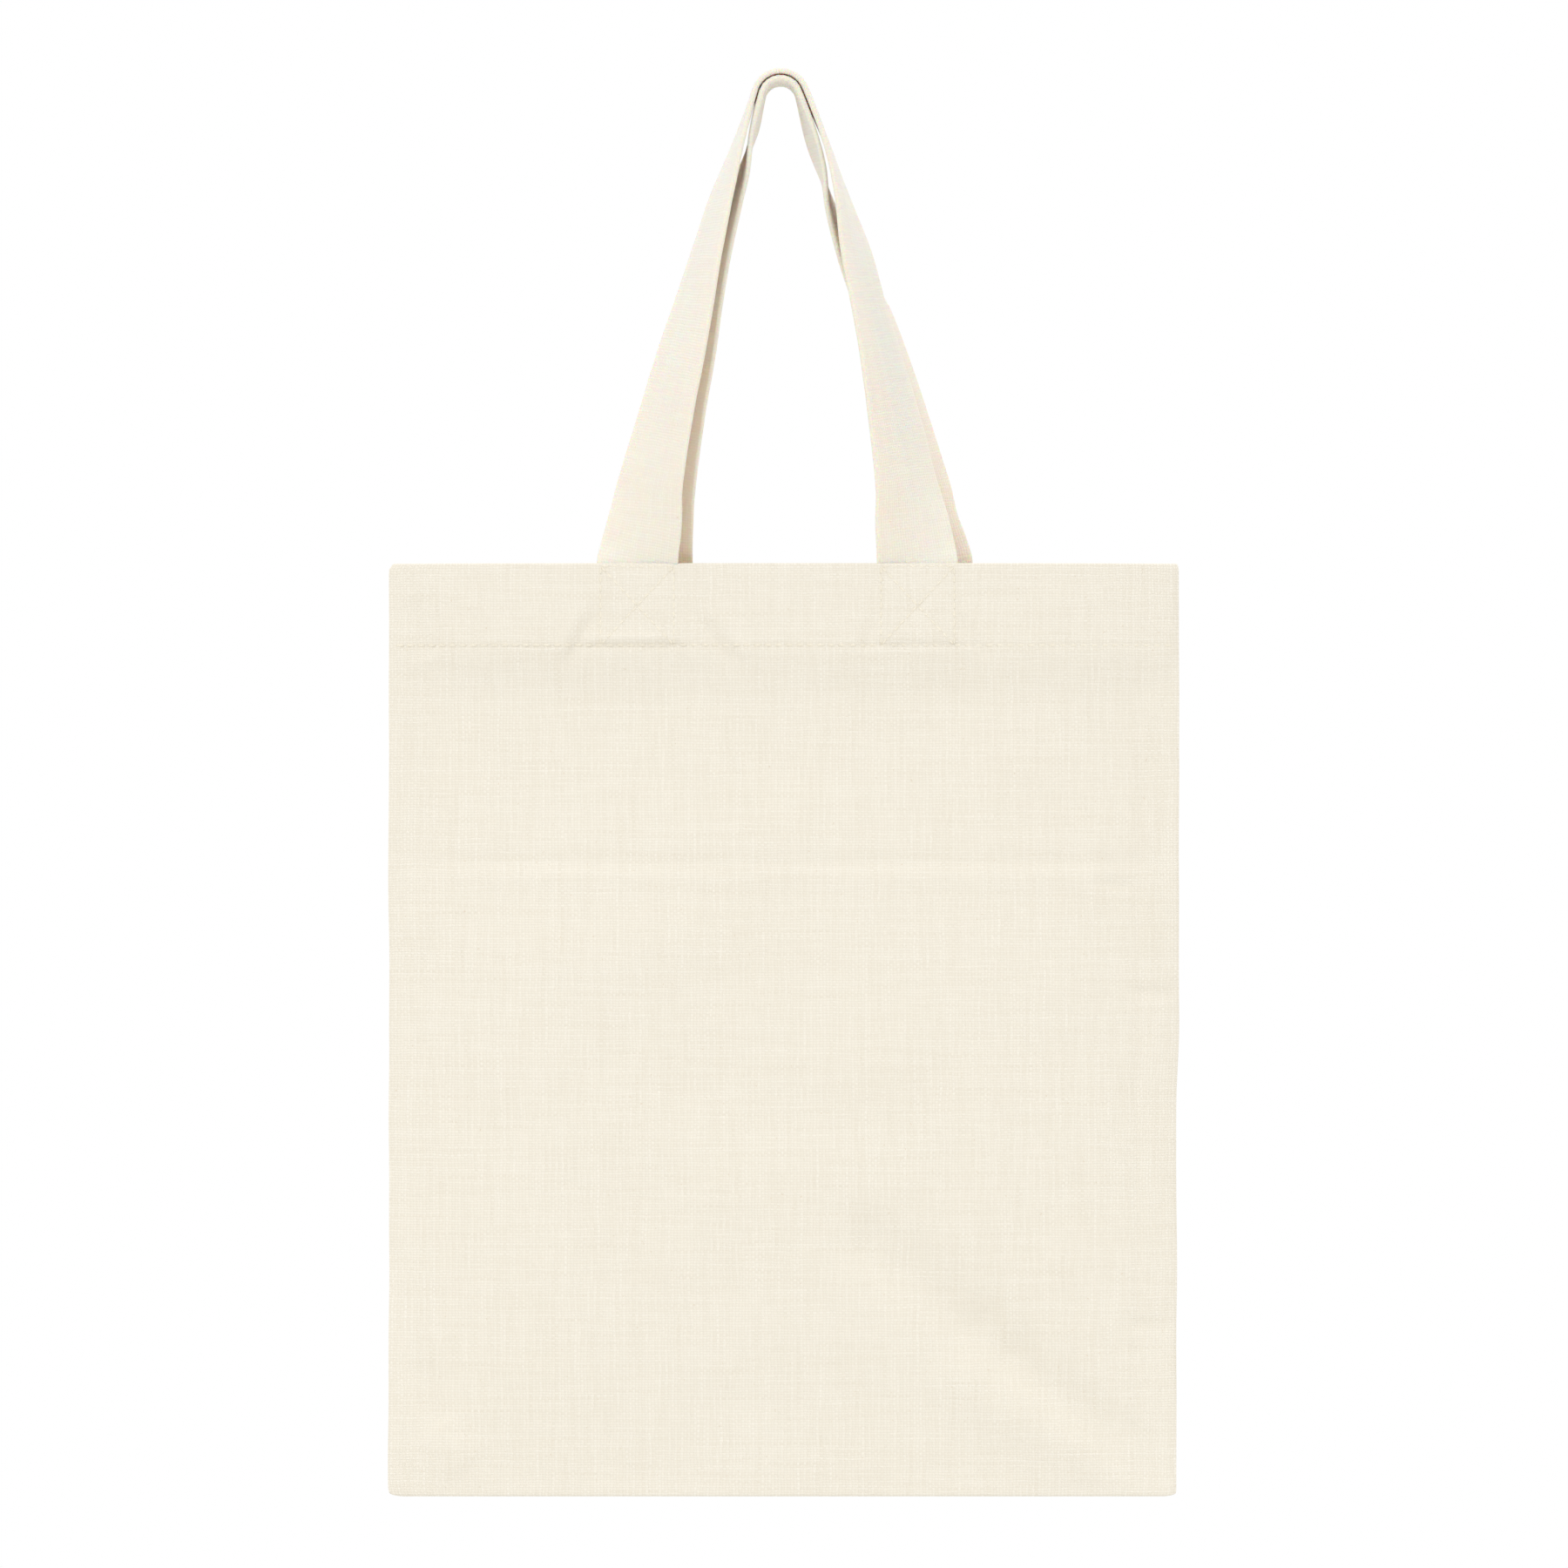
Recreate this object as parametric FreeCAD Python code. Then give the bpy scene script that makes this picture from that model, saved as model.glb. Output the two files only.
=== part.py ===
import FreeCAD, Part
import math
import os

# A small canvas tote bag hanging by both handles from a peg.
# Origin: the peg's axis. +Z is up, +X is to the right, and the bag's front faces -Y. Millimetres.

# driving dimensions
bag_width = 279.4
bag_height = 330.2
hem_depth = 30.2
strap_width = 28.7
strap_thickness = 1.8
cloth = 0.5
peg_radius = 5.3

# where the bag hangs below the peg
hem_top = -164.2
bag_bottom = hem_top - bag_height
bag_middle_x = 1.2

# how far the cloth stands out from the bag's middle plane
edge_gap = 0.9
belly = 11.0
belly_rise = 60.0
mouth_pull_in = 3.0
side_flatness = 4

# layers inside the cloth, and the gaps that keep them apart
layer_gap = 0.05
facing_start = layer_gap
strap_start = facing_start + cloth + layer_gap
seam_allowance = 12.0
seam_edge = 0.6
seam_layers = 1.0
fold_radius = edge_gap + cloth
fold_height = bag_bottom + fold_radius
back_panel_lift = 0.6

# handles: the joint line above the hem, and the two straps nested on the peg
hinge_height = hem_top + 5.0
hinge_gap = 1.8
strap_gap_on_peg = 1.6
arc_half_angle = 72.0
rear_strap_radius = peg_radius + strap_thickness / 2
front_strap_radius = rear_strap_radius + strap_thickness + strap_gap_on_peg

# each leg from the hem up to the peg: (z, x, y, twist in degrees)
front_left_leg = [
    (-149.7, -48.8, -7.1, 21),
    (-137.3, -46.2, -6.9, 35),
    (-109.9, -40.1, -6.4, 48),
    (-89.5, -35.0, -5.9, 54),
    (-74.0, -31.0, -5.5, 60),
    (-54.0, -26.1, -4.5, 68),
    (-38.0, -21.9, -3.0, 74),
    (-25.0, -18.0, -1.7, 78),
    (-12.0, -14.0, -0.7, 84),
]
front_right_leg = [
    (-149.7, 46.5, -7.1, 24),
    (-137.3, 44.7, -6.9, 39),
    (-109.9, 39.5, -6.4, 52),
    (-89.5, 35.2, -5.9, 60),
    (-74.0, 31.2, -5.5, 66),
    (-56.0, 26.5, -4.6, 73),
    (-38.0, 22.4, -3.0, 80),
    (-25.0, 19.1, -1.7, 85),
    (-12.0, 15.0, -0.7, 88),
]
rear_left_leg = [
    (-149.7, -44.3, 7.1, 21),
    (-137.3, -41.9, 6.9, 35),
    (-109.9, -36.1, 6.4, 48),
    (-89.5, -31.5, 5.9, 54),
    (-74.0, -28.0, 5.5, 60),
    (-54.0, -22.8, 4.5, 68),
    (-38.0, -18.3, 3.0, 75),
    (-25.0, -13.9, 1.7, 82),
    (-12.0, -9.8, 0.7, 90),
    (-2.1, -7.3, 0.2, 90),
]
rear_right_leg = [
    (-149.7, 51.8, 7.1, 24),
    (-137.3, 49.2, 6.9, 39),
    (-109.9, 43.0, 6.4, 52),
    (-89.5, 38.0, 5.9, 60),
    (-74.0, 33.0, 5.5, 66),
    (-56.0, 26.7, 4.6, 73),
    (-38.0, 19.5, 3.0, 81),
    (-25.0, 14.8, 1.7, 90),
    (-12.0, 10.6, 0.7, 90),
    (-2.1, 7.4, 0.2, 90),
]
front_leg_x = {"left": -50.6, "right": 48.4}
rear_leg_x = {"left": -45.5, "right": 54.0}

# sewing
stitch_pitch = 3.7
stitch_length = 2.7
stitch_width = 0.5
stitch_height = 0.25
tack_width = 25.4
tack_height = 28.6
tack_top = 1.4
overlock_width = 4.5

sides = {"left": -1, "right": 1}


def belly_at(x, z):
    """How far one wall stands out from the flat bag at this place."""
    rise = max(z - fold_height, 0.0)
    depth = belly * math.tanh(rise / belly_rise)
    depth -= mouth_pull_in * (rise / bag_height) ** 3
    across = min(abs(x - bag_middle_x) / (bag_width / 2), 1.0)
    return depth * (1 - across ** side_flatness)


def wall_point(x, z, facing, inset):
    """A point on one wall: facing is -1 for the front, inset is measured inwards from its inner face."""
    return FreeCAD.Vector(x, facing * (edge_gap + belly_at(x, z) - inset), z)


def spread(low, high, count):
    """Evenly spaced values from low to high."""
    return [low + (high - low) * i / (count - 1) for i in range(count)]


def cloth_face(xs, zs, facing, inset):
    surface = Part.BSplineSurface()
    surface.interpolate([[wall_point(x, z, facing, inset) for z in zs] for x in xs])
    return surface.toShape()


def outer_edge(face, axis, value):
    """The border edge of a cloth face whose middle lies at this x or z."""
    def miss(edge):
        return abs(getattr(edge.valueAt((edge.FirstParameter + edge.LastParameter) / 2), axis) - value)
    return min(face.Edges, key=miss)


def cloth_piece(x_range, z_range, facing, start, thickness, columns=17, rows=17):
    """A sheet that follows one wall, as a closed solid between two offset faces."""
    xs = spread(x_range[0], x_range[1], columns)
    zs = spread(z_range[0], z_range[1], rows)
    near = cloth_face(xs, zs, facing, start)
    far = cloth_face(xs, zs, facing, start + thickness)
    rims = []
    for axis, value in (("x", xs[0]), ("x", xs[-1]), ("z", zs[0]), ("z", zs[-1])):
        rims.append(Part.makeRuledSurface(outer_edge(near, axis, value), outer_edge(far, axis, value)))
    shell = Part.makeShell([near, far] + rims)
    shell.sewShape()
    return closed_solid(shell)


def closed_solid(shell):
    solid = Part.makeSolid(shell)
    if solid.Volume < 0:
        solid.reverse()
    return solid


def panel(facing, bottom):
    left = bag_middle_x - bag_width / 2
    right = bag_middle_x + bag_width / 2
    return cloth_piece((left, right), (bottom, hem_top), facing, -cloth, cloth, 33, 25)


def hem_facing(facing):
    left = bag_middle_x - bag_width / 2 + seam_allowance + 2.0
    right = bag_middle_x + bag_width / 2 - seam_allowance - 2.0
    return cloth_piece((left, right), (hem_top - hem_depth, hem_top), facing, facing_start, cloth, 25, 7)


def side_seam(side):
    """Both cut edges of one side, sewn together and folded in against the front wall."""
    edge = bag_middle_x + side * bag_width / 2
    span = sorted((edge - side * seam_edge, edge - side * seam_allowance))
    return cloth_piece(span, (fold_height + 1.0, hem_top - 0.5), -1, layer_gap, seam_layers, 9, 25)


def bottom_fold():
    """The cloth turns from the front wall to the back wall round this half tube."""
    left = FreeCAD.Vector(bag_middle_x - bag_width / 2, 0, fold_height)
    along = FreeCAD.Vector(1, 0, 0)
    outside = Part.makeCylinder(fold_radius, bag_width, left, along)
    inside = Part.makeCylinder(edge_gap, bag_width, left, along)
    upper = Part.makeBox(
        bag_width, 2 * fold_radius, fold_radius, FreeCAD.Vector(left.x, -fold_radius, fold_height)
    )
    return outside.cut(inside).cut(upper)


def strap_end(facing, x):
    """The sewn end of a strap, inside the hem, up to just under the line where the strap flexes."""
    half = strap_width / 2
    rise = (hem_top - hem_depth, hinge_height - strap_thickness / 2 - hinge_gap)
    return cloth_piece((x - half, x + half), rise, facing, strap_start, strap_thickness, 7, 7)


def strap_plane(facing):
    """The y of a strap's middle where it leaves the hem."""
    return facing * (edge_gap + belly_at(50, hinge_height) - strap_start - strap_thickness / 2)


def unit(vector):
    return FreeCAD.Vector(vector).normalize()


def section(centre, across, through):
    """One rectangular cut through a strap, as (centre, width direction, thickness direction)."""
    return centre, unit(across), unit(through)


def leg_sections(stations, side, x_base, facing):
    """The cuts of one leg from the joint line up to where it meets the arc on the peg."""
    radius = rear_strap_radius if facing > 0 else front_strap_radius
    swing = math.radians(arc_half_angle)
    base = FreeCAD.Vector(x_base, strap_plane(facing), hinge_height)
    top = FreeCAD.Vector(side * radius * math.sin(swing), 0, radius * math.cos(swing))
    middles = [base] + [FreeCAD.Vector(x, y, z) for z, x, y, twist in stations] + [top]
    twists = [0] + [twist for z, x, y, twist in stations] + [90]
    result = []
    for i, (middle, twist) in enumerate(zip(middles, twists)):
        angle = math.radians(twist)
        across = FreeCAD.Vector(-side * math.cos(angle), -math.sin(angle), 0)
        if i == 0:
            along = FreeCAD.Vector(0, 0, 1)
        elif i == len(middles) - 1:
            along = FreeCAD.Vector(-side * math.cos(swing), 0, math.sin(swing))
        else:
            along = unit(middles[i + 1] - middles[i - 1])
        across = unit(across - along * across.dot(along))
        result.append(section(middle, across, across.cross(along)))
    return result


def outline(cut):
    """The closed rectangle of one strap section."""
    centre, across, through = cut
    w = across * (strap_width / 2)
    t = through * (strap_thickness / 2)
    corners = [centre - w - t, centre + w - t, centre + w + t, centre - w + t]
    return Part.makePolygon(corners + corners[:1])


def strap_loop(left_stations, right_stations, base_x, facing):
    """The whole moving strap: two twisted legs, the arc over the peg, and rounded ends at the joint line."""
    left = leg_sections(left_stations, -1, base_x["left"], facing)
    right = leg_sections(right_stations, 1, base_x["right"], facing)
    legs = [Part.makeLoft([outline(cut) for cut in leg], True, False) for leg in (left, right)]
    end_face = Part.Face(outline(left[-1]))
    arc = end_face.revolve(FreeCAD.Vector(0, 0, 0), FreeCAD.Vector(0, 1, 0), 2 * arc_half_angle)
    ends = []
    for leg in (left, right):
        start = leg[0][0] - FreeCAD.Vector(strap_width / 2, 0, 0)
        ends.append(Part.makeCylinder(strap_thickness / 2, strap_width, start, FreeCAD.Vector(1, 0, 0)))
    return legs[0].fuse([arc, legs[1]] + ends)


def stitch(centre, along, outward):
    """One stitch: a short bar lying on the cloth, its middle at centre."""
    bar = Part.makeBox(
        stitch_length, stitch_width, stitch_height,
        FreeCAD.Vector(-stitch_length / 2, -stitch_width / 2, -stitch_height / 2),
    )
    x_axis = unit(along - outward * along.dot(outward))
    y_axis = outward.cross(x_axis)
    matrix = FreeCAD.Matrix(
        x_axis.x, y_axis.x, outward.x, centre.x,
        x_axis.y, y_axis.y, outward.y, centre.y,
        x_axis.z, y_axis.z, outward.z, centre.z,
        0, 0, 0, 1,
    )
    bar.transformShape(matrix)
    return bar


def stitch_line(start, end, facing, inset):
    """Stitches from one (x, z) place on a wall to another, standing clear of the face at this inset."""
    length = math.hypot(end[0] - start[0], end[1] - start[1])
    count = max(int(length / stitch_pitch), 1)
    inwards = inset > 0
    level = inset + (layer_gap + stitch_height / 2) * (1 if inwards else -1)
    bars = []
    for i in range(count):
        share = (i + 0.5) / count
        x = start[0] + (end[0] - start[0]) * share
        z = start[1] + (end[1] - start[1]) * share
        here = wall_point(x, z, facing, level)
        right = wall_point(x + 0.5, z, facing, level) - wall_point(x - 0.5, z, facing, level)
        up = wall_point(x, z + 0.5, facing, level) - wall_point(x, z - 0.5, facing, level)
        along = right * (end[0] - start[0]) + up * (end[1] - start[1])
        bars.append(stitch(here, along, unit(right.cross(up))))
    return bars


def hem_thread(facing):
    z = hem_top - hem_depth + 1.2
    left = bag_middle_x - bag_width / 2 + 2.0
    right = bag_middle_x + bag_width / 2 - 2.0
    return Part.makeCompound(stitch_line((left, z), (right, z), facing, -cloth))


def tack_thread(facing, x):
    """A box with a cross in it, sewn through the hem and the strap behind it."""
    left = x - tack_width / 2
    right = x + tack_width / 2
    top = hem_top - tack_top
    bottom = top - tack_height
    inner = 1.5
    lines = [
        ((left, top), (right, top)),
        ((left, bottom + inner), (left, top - inner)),
        ((right, bottom + inner), (right, top - inner)),
        ((left + inner, bottom + 2 * inner), (x - inner, (top + bottom) / 2 - inner)),
        ((x + inner, (top + bottom) / 2 + inner), (right - inner, top - 2 * inner)),
        ((right - inner, bottom + 2 * inner), (x + inner, (top + bottom) / 2 - inner)),
        ((x - inner, (top + bottom) / 2 + inner), (left + inner, top - 2 * inner)),
    ]
    bars = []
    for start, end in lines:
        bars += stitch_line(start, end, facing, -cloth)
    return Part.makeCompound(bars)


def side_thread(side):
    """The straight stitching that joins the two walls at one side."""
    x = bag_middle_x + side * (bag_width / 2 - 2.5)
    start = (x, fold_height + 8.0)
    return Part.makeCompound(stitch_line(start, (x, hem_top - 3.0), -1, layer_gap + seam_layers))


def overlock_thread(side):
    """The stitches across the cut edges of one side seam."""
    x = bag_middle_x + side * (bag_width / 2 - seam_allowance + overlock_width / 2)
    bars = []
    z = fold_height + 10.0
    while z < hem_top - hem_depth - 4.0:
        bars += stitch_line((x - overlock_width / 2, z), (x + overlock_width / 2, z + 1.0), -1,
                            layer_gap + seam_layers)
        z += stitch_pitch
    return Part.makeCompound(bars)


def build():
    nodes = {
        "front_panel": panel(-1, fold_height),
        "back_panel": panel(1, fold_height + back_panel_lift),
        "bottom_fold": bottom_fold(),
        "front_hem_facing": hem_facing(-1),
        "back_hem_facing": hem_facing(1),
        "front_hem_thread": hem_thread(-1),
        "back_hem_thread": hem_thread(1),
        "front_handle_strap": strap_loop(front_left_leg, front_right_leg, front_leg_x, -1),
        "rear_handle_strap": strap_loop(rear_left_leg, rear_right_leg, rear_leg_x, 1),
    }
    for side_name, side in sides.items():
        nodes[f"{side_name}_side_seam"] = side_seam(side)
        nodes[f"{side_name}_seam_thread"] = side_thread(side)
        nodes[f"{side_name}_overlock_thread"] = overlock_thread(side)
        for wall, facing, base_x in (("front", -1, front_leg_x), ("rear", 1, rear_leg_x)):
            nodes[f"{wall}_handle_{side_name}_end"] = strap_end(facing, base_x[side_name])
            nodes[f"{wall}_{side_name}_tack_thread"] = tack_thread(facing, base_x[side_name])
    return nodes


os.makedirs("parts", exist_ok=True)
for name, shape in build().items():
    shape.exportStep(f"parts/{name}.step")
    box = shape.BoundBox
    print(f"{name}: {len(shape.Solids)} solids, {shape.Volume:.0f} mm3, valid {shape.isValid()}")
    print(f"    x {box.XMin:.1f} to {box.XMax:.1f}, y {box.YMin:.1f} to {box.YMax:.1f}")
    print(f"    z {box.ZMin:.1f} to {box.ZMax:.1f}")
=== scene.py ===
import bpy
import bmesh
import math
from mathutils import Matrix, Vector, noise


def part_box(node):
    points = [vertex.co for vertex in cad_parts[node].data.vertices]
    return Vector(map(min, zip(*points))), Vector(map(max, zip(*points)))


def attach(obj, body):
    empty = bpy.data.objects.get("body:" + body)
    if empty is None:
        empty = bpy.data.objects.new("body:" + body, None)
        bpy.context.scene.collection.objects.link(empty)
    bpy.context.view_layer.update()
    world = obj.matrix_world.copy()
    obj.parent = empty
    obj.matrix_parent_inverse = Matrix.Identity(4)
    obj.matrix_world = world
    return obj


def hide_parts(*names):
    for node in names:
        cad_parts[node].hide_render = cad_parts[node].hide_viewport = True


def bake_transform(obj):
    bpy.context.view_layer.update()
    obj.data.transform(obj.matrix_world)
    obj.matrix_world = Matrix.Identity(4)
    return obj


# A small natural cotton tote bag, hung by both handles. Metres, front faces -Y, origin on the peg's axis.

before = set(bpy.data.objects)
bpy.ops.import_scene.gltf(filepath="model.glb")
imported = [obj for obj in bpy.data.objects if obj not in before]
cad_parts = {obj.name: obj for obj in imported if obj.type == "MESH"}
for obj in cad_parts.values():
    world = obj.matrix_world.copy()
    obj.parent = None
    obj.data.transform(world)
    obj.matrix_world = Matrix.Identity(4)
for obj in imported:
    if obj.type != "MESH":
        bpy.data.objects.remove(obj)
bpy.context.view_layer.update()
scene = bpy.context.scene
print("frame loaded")

# the camera comes first: level with the bag's middle, a long way off
view = {"distance": 3.2, "height": -0.2422, "side": 0.00123, "frameWidth": 0.5551}
cameraData = bpy.data.cameras.new("camera")
cameraData.sensor_width = 36
cameraData.lens = cameraData.sensor_width * view["distance"] / view["frameWidth"]
camera = bpy.data.objects.new("camera", cameraData)
camera.location = (view["side"], -view["distance"], view["height"])
camera.rotation_euler = (math.radians(90), 0, 0)
scene.collection.objects.link(camera)
scene.camera = camera

# where the parts are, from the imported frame
panelLow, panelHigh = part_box("front_panel")
foldLow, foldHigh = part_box("bottom_fold")
facingLow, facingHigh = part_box("front_hem_facing")

bag = {
    "left": panelLow.x,
    "right": panelHigh.x,
    "middle": (panelLow.x + panelHigh.x) / 2,
    "top": panelHigh.z,
    "fold": foldHigh.z,
    "hemLine": facingLow.z + 0.0012,
    "cloth": 0.0005,
    "edgeGap": 0.0009,
    "belly": 0.011,
    "bellyRise": 0.085,
    "mouthPullIn": 0.003,
    "edgeRoll": 0.004,       # the last few millimetres, where both walls close on the side seam
    "edgeShut": 0.04,        # the share of the gap that is left on the very edge
    "hemTurn": 0.0302,
    "seamWidth": 0.012,
    "facingClear": 0.014,    # the hem facing stops here, beside the seam
    "facingInset": 0.00055,  # from the middle of the wall's cloth to the middle of the facing's
    "strapInset": 0.00175,   # and to the middle of a strap's sewn end
}
bagWidth = bag["right"] - bag["left"]
bagHeight = bag["top"] - foldLow.z


def smooth(value):
    value = min(max(value, 0.0), 1.0)
    return value * value * (3 - 2 * value)


# how far a place on the wall is from a line, and how far along the line it is, from 0 to 1
def distanceToLine(x, z, start, end):
    dx, dz = end[0] - start[0], end[1] - start[1]
    share = ((x - start[0]) * dx + (z - start[1]) * dz) / (dx * dx + dz * dz)
    clamped = min(max(share, 0.0), 1.0)
    return math.hypot(x - start[0] - dx * clamped, z - start[1] - dz * clamped), share


# the cloth's shape

def bellyAt(x, z):
    rise = max(z - bag["fold"], 0.0)
    depth = bag["belly"] * math.tanh(rise / bag["bellyRise"])
    depth -= bag["mouthPullIn"] * (rise / bagHeight) ** 3
    across = min(abs(x - bag["middle"]) / (bagWidth / 2), 1.0)
    return depth * (1 - across ** 4)


# how far the walls have opened at this column: 0 on the side seam, 1 from the end of the edge roll on
def openingAt(x):
    edge = min(x - bag["left"], bag["right"] - x)
    roll = 1 - min(max(edge / bag["edgeRoll"], 0.0), 1.0)
    return max(math.sqrt(1 - roll ** 2), bag["edgeShut"])


# Creases and dents: two ends (x, z), width and depth. A depth below zero stands out from the cloth.
frontMarks = [
    {"from": (-0.137, -0.2696), "to": (0.000, -0.2702), "width": 0.0030, "depth": 0.00030},
    {"from": (-0.010, -0.2702), "to": (0.140, -0.2697), "width": 0.0030, "depth": 0.00034},
    {"from": (-0.137, -0.2745), "to": (0.140, -0.2748), "width": 0.0045, "depth": -0.00022},
    {"from": (-0.0752, -0.1995), "to": (-0.0662, -0.1822), "width": 0.0022, "depth": 0.00060},
    {"from": (-0.0790, -0.1975), "to": (-0.0700, -0.1800), "width": 0.0024, "depth": -0.00035},
    {"from": (-0.0280, -0.1838), "to": (-0.0150, -0.2010), "width": 0.0024, "depth": 0.00055},
    {"from": (-0.0240, -0.1815), "to": (-0.0110, -0.1985), "width": 0.0026, "depth": -0.00035},
    {"from": (0.0280, -0.1960), "to": (0.0330, -0.1850), "width": 0.0022, "depth": 0.00030},
    {"from": (0.0650, -0.1850), "to": (0.0720, -0.1990), "width": 0.0024, "depth": 0.00032},
    {"from": (-0.1340, -0.1770), "to": (-0.1240, -0.1990), "width": 0.0065, "depth": 0.00070},
    {"from": (-0.0697, -0.1937), "to": (-0.0367, -0.1935), "width": 0.0012, "depth": 0.00022},
    {"from": (-0.0690, -0.1908), "to": (-0.0380, -0.1906), "width": 0.0018, "depth": -0.00030},
    {"from": (0.0197, -0.3960), "to": (0.0800, -0.4420), "width": 0.0110, "depth": 0.00150},
    {"from": (0.0700, -0.4350), "to": (0.1338, -0.4858), "width": 0.0075, "depth": 0.00170},
    {"from": (0.0500, -0.4470), "to": (0.1150, -0.4850), "width": 0.0100, "depth": -0.00090},
    {"from": (0.1260, -0.4800), "to": (0.1370, -0.4900), "width": 0.0040, "depth": 0.00080},
    {"from": (-0.1280, -0.4440), "to": (-0.1190, -0.4710), "width": 0.0050, "depth": 0.00070},
    {"from": (-0.1240, -0.4690), "to": (-0.1100, -0.4850), "width": 0.0090, "depth": -0.00070},
    {"from": (-0.1350, -0.4810), "to": (-0.1290, -0.4920), "width": 0.0020, "depth": 0.00060},
    {"from": (0.1107, -0.2768), "to": (0.1246, -0.2780), "width": 0.0020, "depth": 0.00045},
    {"from": (0.1255, -0.3155), "to": (0.1400, -0.3168), "width": 0.0022, "depth": 0.00050},
    {"from": (0.1240, -0.4330), "to": (0.1385, -0.4345), "width": 0.0022, "depth": 0.00045},
    {"from": (0.1271, -0.2010), "to": (0.1266, -0.4880), "width": 0.0016, "depth": 0.00028},
    {"from": (-0.1237, -0.2010), "to": (-0.1241, -0.4880), "width": 0.0016, "depth": 0.00016},
    {"from": (-0.0600, -0.3450), "to": (0.0400, -0.3650), "width": 0.0160, "depth": 0.00050},
    {"from": (-0.1000, -0.3050), "to": (-0.0200, -0.2950), "width": 0.0140, "depth": -0.00040},
]
backMarks = [
    {"from": (-0.138, -0.2700), "to": (0.140, -0.2704), "width": 0.0032, "depth": 0.00030},
    {"from": (-0.138, -0.2750), "to": (0.140, -0.2752), "width": 0.0045, "depth": -0.00022},
    {"from": (-0.0700, -0.1990), "to": (-0.0620, -0.1830), "width": 0.0024, "depth": 0.00050},
    {"from": (-0.0230, -0.1840), "to": (-0.0120, -0.2000), "width": 0.0024, "depth": 0.00045},
    {"from": (0.0320, -0.1980), "to": (0.0380, -0.1850), "width": 0.0024, "depth": 0.00045},
    {"from": (0.0720, -0.1850), "to": (0.0790, -0.2000), "width": 0.0024, "depth": 0.00040},
    {"from": (-0.0300, -0.4000), "to": (-0.1200, -0.4700), "width": 0.0120, "depth": 0.00110},
    {"from": (0.0400, -0.4300), "to": (0.1200, -0.4820), "width": 0.0110, "depth": 0.00090},
    {"from": (0.0000, -0.3300), "to": (0.0900, -0.3480), "width": 0.0150, "depth": 0.00050},
    {"from": (-0.1300, -0.3200), "to": (-0.1100, -0.3210), "width": 0.0024, "depth": 0.00045},
    {"from": (0.1271, -0.2010), "to": (0.1266, -0.4880), "width": 0.0016, "depth": 0.00022},
    {"from": (-0.1237, -0.2010), "to": (-0.1241, -0.4880), "width": 0.0016, "depth": 0.00018},
]

sewing = {
    "pitch": 0.0037,
    "length": 0.0030,
    "width": 0.00062,
    "height": 0.00042,
    "edgeClear": 0.002,
    "grooveWidth": 0.0010,
    "grooveDepth": 0.00042,
    "puckerBelow": 0.00270,
    "fallLength": 0.022,     # below the hem the cloth falls in over this length
    "riseLength": 0.110,     # and comes out again over this one
    "endStandsOut": 0.00045,  # the hem over a strap's sewn end
    "endHalfWidth": 0.0160,
    "ripple": 0.00022,
}


# the sewn lines of a tack: top, two sides and two diagonals, each two ends (x, z)
def tackLines(node):
    low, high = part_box(node)
    left, right, bottom, top = low.x, high.x, bag["hemLine"], high.z
    return [
        ((left, top), (right, top)),
        ((left, bottom), (left, top)),
        ((right, bottom), (right, top)),
        ((left, bottom), (right, top)),
        ((left, top), (right, bottom)),
    ]


tacks = {
    -1: {"left": tackLines("front_left_tack_thread"), "right": tackLines("front_right_tack_thread")},
    1: {"left": tackLines("rear_left_tack_thread"), "right": tackLines("rear_right_tack_thread")},
}
creaseRelief = 1.9
wallMarks = {-1: list(frontMarks), 1: list(backMarks)}
strapMiddles = {}
for facing in (-1, 1):
    strapMiddles[facing] = []
    for lines in tacks[facing].values():
        strapMiddles[facing].append((lines[0][0][0] + lines[0][1][0]) / 2)
        for start, end in lines:
            wallMarks[facing].append({"from": start, "to": end, "width": 0.0009, "depth": 0.00022})


# the hem: the strap ends behind it, the stitched groove, and the cloth that falls away below
def hemShape(x, z, facing):
    offset = 0.0
    below = bag["hemLine"] - z
    if z > bag["hemLine"] - 0.002:
        for middle in strapMiddles[facing]:
            nearEnd = smooth((sewing["endHalfWidth"] - abs(x - middle)) / 0.003)
            offset += sewing["endStandsOut"] * nearEnd * smooth(-below / 0.003)
    fall = smooth((below + 0.001) / sewing["fallLength"])
    fall *= 1 - smooth((below - sewing["fallLength"]) / sewing["riseLength"])
    nearTack = min(abs(x - middle) for middle in strapMiddles[facing])
    drawn = 1 + 1.2 * smooth((0.026 - nearTack) / 0.010)
    offset -= sewing["puckerBelow"] * fall * (0.85 + 0.15 * drawn)
    wave = 0.55 + 0.45 * math.cos(2 * math.pi * (x - bag["left"] - sewing["edgeClear"]) / sewing["pitch"])
    offset -= sewing["grooveDepth"] * drawn * wave * math.exp(-((below / sewing["grooveWidth"]) ** 2))
    ripple = noise.noise(Vector((x * 260, 3.1 * facing, 0.4)))
    offset += sewing["ripple"] * ripple * drawn * math.exp(-(((below - 0.002) / 0.005) ** 2))
    return offset


# unevenness of hung cloth, from broad to fine: depth, and how quickly it changes across and up
clothWaver = [
    {"depth": 0.00110, "across": 17, "up": 12, "seed": 2.3},
    {"depth": 0.00042, "across": 48, "up": 40, "seed": 7.9},
    {"depth": 0.00010, "across": 160, "up": 150, "seed": 4.1},
]


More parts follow.
